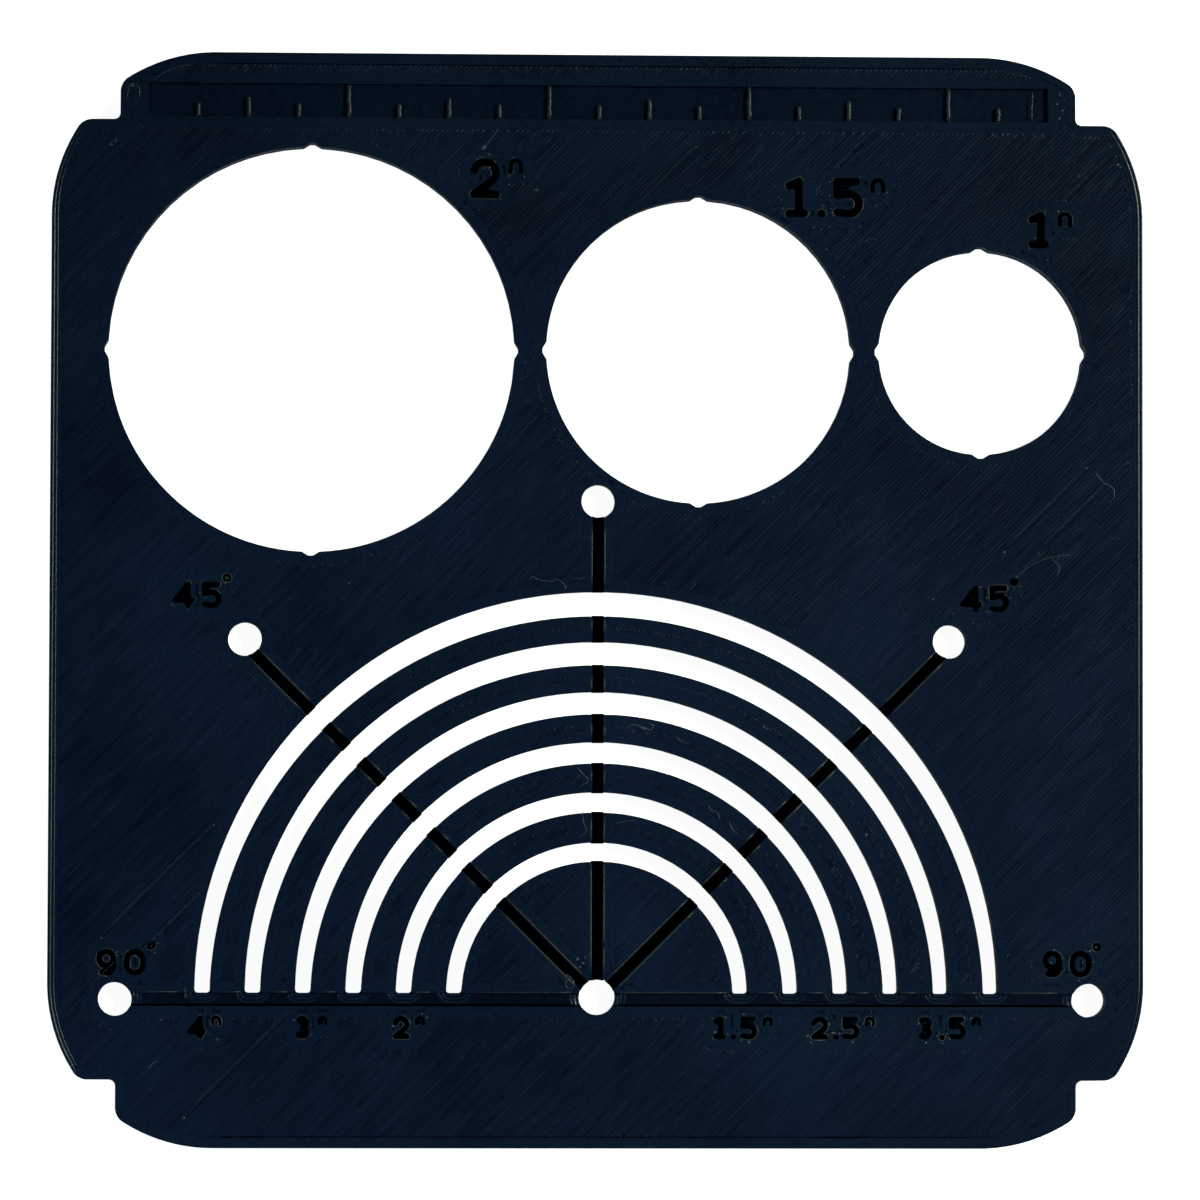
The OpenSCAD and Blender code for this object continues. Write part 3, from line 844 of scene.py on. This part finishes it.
def fill_beads():
    """The straight beads at 45 degrees that fill the top face inside the contour beads.
    Along the straight top and bottom edges they stop short and leave a seam."""
    solid = Solid()
    short = half_h - np.abs(Y) - SEAM_W
    scars = scar_lines()
    for line, start, end in fill_stretches(np.minimum(face, short), DIAGONAL, SIDEWAYS):
        ramp = min(RAMP, (end - start) / 3)
        inner = start + ramp + np.cumsum(rng.uniform(1.2, 3.6, int((end - start) / 1.2) + 1))
        stops = np.concatenate([[start, start + ramp], inner[inner < end - ramp - 0.1], [end - ramp, end]])
        scraped = [(a, b) for number, a, b in scars if number == line]
        for a, b in scraped:
            extra = [v for v in (a, a + SCAR_RAMP, b - SCAR_RAMP, b) if start < v < end]
            stops = np.sort(np.append(stops, extra))
        n = len(stops)
        side = line * BEAD + rng.normal(0, 0.01, n)
        path = stops[:, None] * DIAGONAL + side[:, None] * SIDEWAYS
        lift = -FILL_DROP + (EVEN_LIFT + PATCHY_LIFT * read(patches, path)) * rng.normal(0, 1, n)
        for a, b in scraped:
            lift[(stops > a + SCAR_RAMP / 2) & (stops < b - SCAR_RAMP / 2)] -= SCAR_DEPTH
        lift[[0, -1]] = -END_DROP
        swell = rng.normal(1.0, 0.03, n)
        section = crest(top, FILL_RISE, FILL_WIDTH)
        solid.sweep(path, section, False, lift=np.minimum(lift, -LEAST_DROP), swell=swell)
    solid.piece("fill_beads", fill_look, smooth=False)


def underside_fill():
    """The straight beads of the underside, which cross the ones on top."""
    solid = Solid()
    for line, start, end in fill_stretches(through, SIDEWAYS, DIAGONAL):
        path = np.array([start, end])[:, None] * SIDEWAYS + line * BEAD * DIAGONAL
        solid.sweep(path, PRESSED, False)
    solid.piece("underside_fill", fill_look, smooth=False)


core()
walls()
contour_beads()
fill_beads()
edge_seam_shade()
underside_contours()
underside_fill()

# ---------- groove floors with painted shade; lips, ruler ridges and strings with painted highlights ---

# Width of the painted shade line in the corner under the baseline groove's lower wall
BASE_SHADE_W = 0.3
# Painted shade plates on the floors: room to the walls, and step of the baseline's points
FLOOR_ROOM = 0.12
BASE_STEP = 0.5
# How far the baseline's strips stay clear of holes and slots
BASE_CLEAR = 0.3


def along_baseline(solid, y, width, z):
    """Adds strips along the baseline groove, between the holes and slots that it crosses."""
    line = np.array([(x, y) for x in np.arange(*baseline, BASE_STEP)])
    for path in clipped(line, through, BASE_CLEAR):
        solid.sweep(path, strip(width, z), False)


def painted_shade_plates():
    """Painted shade: near-black plates on the floors of the sighting grooves and the numbers, and a painted
    shade line in the corner of the baseline groove.
    """
    solid = Solid()
    for gap, z in ((sight, top - GROOVE_DEPTH), (marks, top - MARK_DEPTH)):
        inner = np.maximum(gap, -through)
        loops = loops_at(-inner, -FLOOR_ROOM, shortest=0.5)
        solid.prism(loops, -inner, -FLOOR_ROOM, z - 0.05, z + 0.015)
    # Painted shade line along the foot of the baseline groove's lower wall
    corner_y = base_y - BASE_GROOVE_W / 2 + BASE_SHADE_W / 2
    along_baseline(solid, corner_y, BASE_SHADE_W, top - BASE_GROOVE_DEPTH + 0.06)
    solid.piece("painted_shade_floors", painted_shade_look, smooth=False)


def baseline_trough_shade():
    """The floor of the baseline groove, in a darker navy that paints the shade in the recess."""
    solid = Solid()
    along_baseline(solid, base_y, BASE_GROOVE_W - 0.2, top - BASE_GROOVE_DEPTH + 0.03)
    solid.piece("baseline_trough_shade", trough_shade_look, smooth=False)


# Section of a lip, as (left, up) from its crest, and the width of a thin one as a share of it
LIP = [(-0.13, -0.16), (0.13, -0.16), (0.13, -0.05), (0.06, -0.005), (-0.06, -0.005), (-0.13, -0.05)]
THIN = 0.6
# How far a lip's height sinks at random
LIP_WAVER = 0.012


def lips():
    """The raised lips that the nozzle left along the grooves and round the numbers, in a light grey that
    paints the highlight on their rounded edges.
    """
    solid = Solid()
    full = [(x, top + up) for x, up in LIP]
    thin = [(x * THIN, z) for x, z in full]

    def trace(loops, field, level, profile):
        for loop in loops:
            for path in clipped(loop, field, level):
                solid.sweep(path, profile, False, lift=-np.abs(waver(len(path), LIP_WAVER)))

    trace(loops_at(sight, 0.13, limit=1.5), through, 0.15, full)
    trace(loops_at(marks, 0.08, shortest=0.6), crumbs, 0.1, thin)
    trace(loops_at(base, 0.1, limit=2), np.minimum(through - 0.2, Y - base_y), 0, thin)
    solid.piece("groove_lip_highlights", lip_highlight_look)


# Ridges of the ruler: points along each, rise and width of its section, and radii of its end blob
RIDGE_POINTS = 7
RIDGE_RISE = 2.2
RIDGE_WIDTH = 1.2
RIDGE_BLOB = (0.29, 0.34, 0.22)


def ticks():
    """The ruler's ridges: one short bead each, with a blob where the nozzle stopped, in a lighter colour
    that paints the highlight on the ridges.
    """
    for node in ("quarter_inch_ticks", "half_inch_ticks", "inch_ticks"):
        solid = Solid()
        low, high = node_box(node)
        for k in range(1, int(RULER_INCHES * RIDGES_PER_INCH)):
            if k % RIDGES_PER_INCH == 0:
                kind = "inch_ticks"
            else:
                kind = "quarter_inch_ticks" if k % 2 else "half_inch_ticks"
            if kind != node:
                continue
            x = -ruler_half + k * INCH / RIDGES_PER_INCH
            stops = np.linspace(low[1] + 0.05, high[1] - 0.1, RIDGE_POINTS)
            path = np.stack([x + rng.normal(0, 0.03, RIDGE_POINTS), stops], 1)
            swell = rng.normal(1.0, 0.08, RIDGE_POINTS)
            swell[[0, -1]] = (1.0, 0.7)
            section = crest(top - 0.02, RIDGE_RISE, RIDGE_WIDTH)
            lift = -np.abs(rng.normal(0, 0.02, RIDGE_POINTS))
            solid.sweep(path, section, False, lift=lift, swell=swell)
            solid.blob((x, high[1] - 0.35, top - 0.25), RIDGE_BLOB)
        solid.piece(node + "_beads", tick_highlight_look, [node])


# Fine strings and drips of plastic on the top face: radius, then the points they run through
STRINGS = ((0.07, (-8.7, 2.5), (-8.3, 2.95), (-7.7, 2.6), (-6.0, 2.3), (-5.2, 2.55), (-4.3, 1.95),
            (-4.1, 1.3)),
           (0.06, (-3.1, 2.75), (-2.4, 2.7), (-1.65, 2.8)),
           (0.07, (3.9, -15.9), (4.9, -15.8), (5.8, -16.2), (6.8, -16.4), (7.0, -15.8), (6.5, -15.7)),
           (0.06, (9.9, -17.3), (10.6, -17.9), (11.4, -18.2)),
           (0.07, (-2.6, -21.2), (-2.0, -21.9), (-1.2, -22.9), (-2.4, -23.7)),
           (0.06, (-1.9, -26.6), (-1.8, -28.0), (-1.4, -29.3), (-2.5, -30.1)),
           (0.06, (2.2, -28.3), (3.5, -28.0), (4.9, -27.9)),
           (0.06, (14.0, -25.9), (14.4, -26.6), (15.2, -26.9), (15.5, -27.8)),
           (0.06, (16.7, -28.0), (17.0, -28.9), (17.9, -29.7)),
           (0.07, (-4.0, -47.3), (-3.3, -47.8), (-2.9, -48.6), (-3.4, -49.2), (-4.0, -48.7), (-3.8, -47.9)),
           (0.06, (55.1, 61.4), (55.1, 63), (55.2, 64.9)),
           (0.06, (-56.5, 65.6), (-55, 66.7), (-53, 67.4), (-51.5, 67.6)),
           (0.06, (53, 2.8), (54.5, 4.3), (57, 5.5), (60, 6)),
           (0.06, (57.5, 5.6), (58.6, 4.4), (58.2, 3.2)),
           (0.06, (-59.8, 63.4), (-59.6, 64.8), (-59, 65.2), (-58.4, 64.8), (-58.2, 63.4)),
           (0.08, (63.2, 16.5), (64.2, 15.2), (65.3, 14.6), (65.6, 13.4), (64.9, 12.6)),
           (0.07, (-14.7, 57.3), (-13.9, 58.3), (-12.8, 59.7)),
           (0.06, (-51.9, -49.0), (-51.9, -50.4)),
           (0.05, (-56.5, -59.4), (-55.9, -58.6), (-55.2, -58.4)),
           (0.05, (33.8, 45.5), (34.4, 46.1), (35.2, 46.0)))
# How much thicker the strings are than their nominal radius, and the radius of the raised edge along a scar,
# made bright by painted highlight
STRING_SWELL = 1.25
SCAR_EDGE_R = 0.04
# Single drips: place, half length, half width, and direction in degrees
BLOBS = ((-14.7, 57.3, 0.4, 0.28, 50), (-8, 52, 0.3, 0.25, 0), (42.5, 0.3, 0.22, 0.2, 0),
         (5.8, -16.2, 0.5, 0.2, -15), (-59.2, 64.9, 0.25, 0.2, 0), (-61.8, 57.4, 0.22, 0.15, 20),
         (-61.2, 57.9, 0.18, 0.16, 0), (-31.5, 2.0, 0.16, 0.12, 30), (8.4, 2.2, 0.16, 0.12, 70),
         (-2.5, -45.4, 0.3, 0.2, 40), (-1.8, -45.9, 0.25, 0.18, -30), (-2.2, -46.4, 0.2, 0.15, 10),
         (-1.5, -45.2, 0.16, 0.14, 0), (58.6, 64.6, 0.25, 0.14, 70), (58.3, 63.4, 0.22, 0.14, 50),
         (59.0, 62.6, 0.2, 0.12, 80), (58.6, 61.6, 0.22, 0.15, 100), (59.3, 63.9, 0.16, 0.12, 30))
# Share of the points round a number that carry a crumb
CRUMB_SHARE = 0.07


def smooth_path(points, parts=5):
    """A Catmull-Rom curve through given points."""
    p = np.array([points[0], *points, points[-1]], float)
    out = []
    for a, b, c, d in zip(p[:-3], p[1:-2], p[2:-1], p[3:]):
        for t in np.arange(parts) / parts:
            out.append(0.5 * (2 * b + (c - a) * t + (2 * a - 5 * b + 4 * c - d) * t ** 2
                              + (3 * b - a - 3 * c + d) * t ** 3))
    return np.array(out + [p[-2]])


def strings():
    """Strings, drips, the raised edges of the scars and the crumbs round the numbers, in a lighter colour
    that paints their highlights.
    """
    solid = Solid()

    def thread(path, r):
        ring = [(r * math.cos(a), r * math.sin(a)) for a in np.arange(6) * math.pi / 3]
        ends = np.minimum(np.arange(len(path)), np.arange(len(path))[::-1])
        slim = np.clip(0.35 + 0.3 * ends, 0, 1) * rng.uniform(0.75, 1.0, len(path))
        solid.sweep(path, [(x, top - r + z) for x, z in ring], False, lift=-0.01, swell=slim)

    for r, *points in STRINGS:
        thread(smooth_path(points), STRING_SWELL * r)
    for line, a, b in scar_lines():
        count = max(3, round((b - a) / 1.5))
        along = np.linspace(a, b, count)
        side = line * BEAD + 0.2 + rng.normal(0, 0.02, count)
        thread(along[:, None] * DIAGONAL + side[:, None] * SIDEWAYS, SCAR_EDGE_R)
    for x, y, long, wide, turn in BLOBS:
        solid.blob((x, y, top - 0.1), (long, wide, 0.095), math.radians(turn))
    for loop in loops_at(marks, 0.32, shortest=0.6):
        for x, y in loop[rng.random(len(loop)) < CRUMB_SHARE] + rng.normal(0, 0.12, 2):
            long, wide = rng.uniform(0.07, 0.2, 2)
            solid.blob((x, y, top - 0.09), (long, wide, 0.085), rng.uniform(0, math.pi))
    solid.piece("strings_and_drips", string_highlight_look)


painted_shade_plates()
baseline_trough_shade()
lips()
ticks()
strings()

# ---------- camera, light and floor ----------

# Floor: half width and room under the plate, in metres, and its own glow
FLOOR_HALF = 4.0
FLOOR_DROP = 0.0001
FLOOR_GLOW = 0.95
# Side of a softbox in metres, and the angle of its beam in degrees
BOX_SIZE = 0.3
BEAM_ANGLE = 26
# Camera: place in metres, turn in degrees, and focal length and sensor width in millimetres
CAMERA_PLACE = (-0.03197, -0.03286, 0.8)
CAMERA_TURN = (2.351, -2.32, 0.15)
FOCAL_LENGTH = 189.28
SENSOR_W = 36

scene = bpy.context.scene


def stage():
    """A plain pale floor under the plate."""
    mesh = bpy.data.meshes.new("floor")
    corners = [(x * FLOOR_HALF, y * FLOOR_HALF, 0) for x, y in ((-1, -1), (1, -1), (1, 1), (-1, 1))]
    mesh.from_pydata(corners, [], [(0, 1, 2, 3)])
    floor = bpy.data.objects.new("floor", mesh)
    floor.location.z = -FLOOR_DROP
    scene.collection.objects.link(floor)
    look = bpy.data.materials.new("pale_floor")
    look.use_nodes = True
    shader = look.node_tree.nodes["Principled BSDF"]
    shader.inputs["Base Color"].default_value = (0.9, 0.9, 0.9, 1)
    shader.inputs["Roughness"].default_value = 0.9
    shader.inputs["Emission Color"].default_value = (1, 1, 1, 1)
    shader.inputs["Emission Strength"].default_value = FLOOR_GLOW
    mesh.materials.append(look)
    floor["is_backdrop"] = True


def camera():
    """Nearly straight above the plate, a little to its lower left, and aimed at its middle."""
    lens = bpy.data.cameras.new("camera")
    lens.sensor_width = SENSOR_W
    lens.lens = FOCAL_LENGTH
    obj = bpy.data.objects.new("camera", lens)
    obj.location = CAMERA_PLACE
    obj.rotation_euler = Euler([math.radians(angle) for angle in CAMERA_TURN])
    scene.collection.objects.link(obj)
    scene.camera = obj


def softbox(name, place, aim, power, tint):
    """A square light that faces one part of the plate, with a grid that keeps its beam narrow."""
    light = bpy.data.lights.new(name, "AREA")
    light.size = BOX_SIZE
    light.energy = power
    light.color = tint
    light.spread = math.radians(BEAM_ANGLE)
    obj = bpy.data.objects.new(name, light)
    obj.location = place
    obj.rotation_euler = (Vector(aim) - Vector(place)).to_track_quat("-Z", "Y").to_euler()
    scene.collection.objects.link(obj)


def studio():
    """A faint even light from all round."""
    world = bpy.data.worlds.new("studio")
    world.use_nodes = True
    background = world.node_tree.nodes["Background"]
    background.inputs["Color"].default_value = (0.9, 0.95, 1, 1)
    background.inputs["Strength"].default_value = 0.02
    scene.world = world


stage()
camera()
softbox("right_box", (0.5, 0.1, 0.43), (0.045, -0.03, 0), 0.23, (0.9, 1, 0.8))
softbox("left_box", (-0.55, -0.42, 0.42), (-0.03, -0.06, 0), 0.065, (0.62, 0.8, 1))
studio()
scene.view_settings.view_transform = "Standard"

low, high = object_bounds()
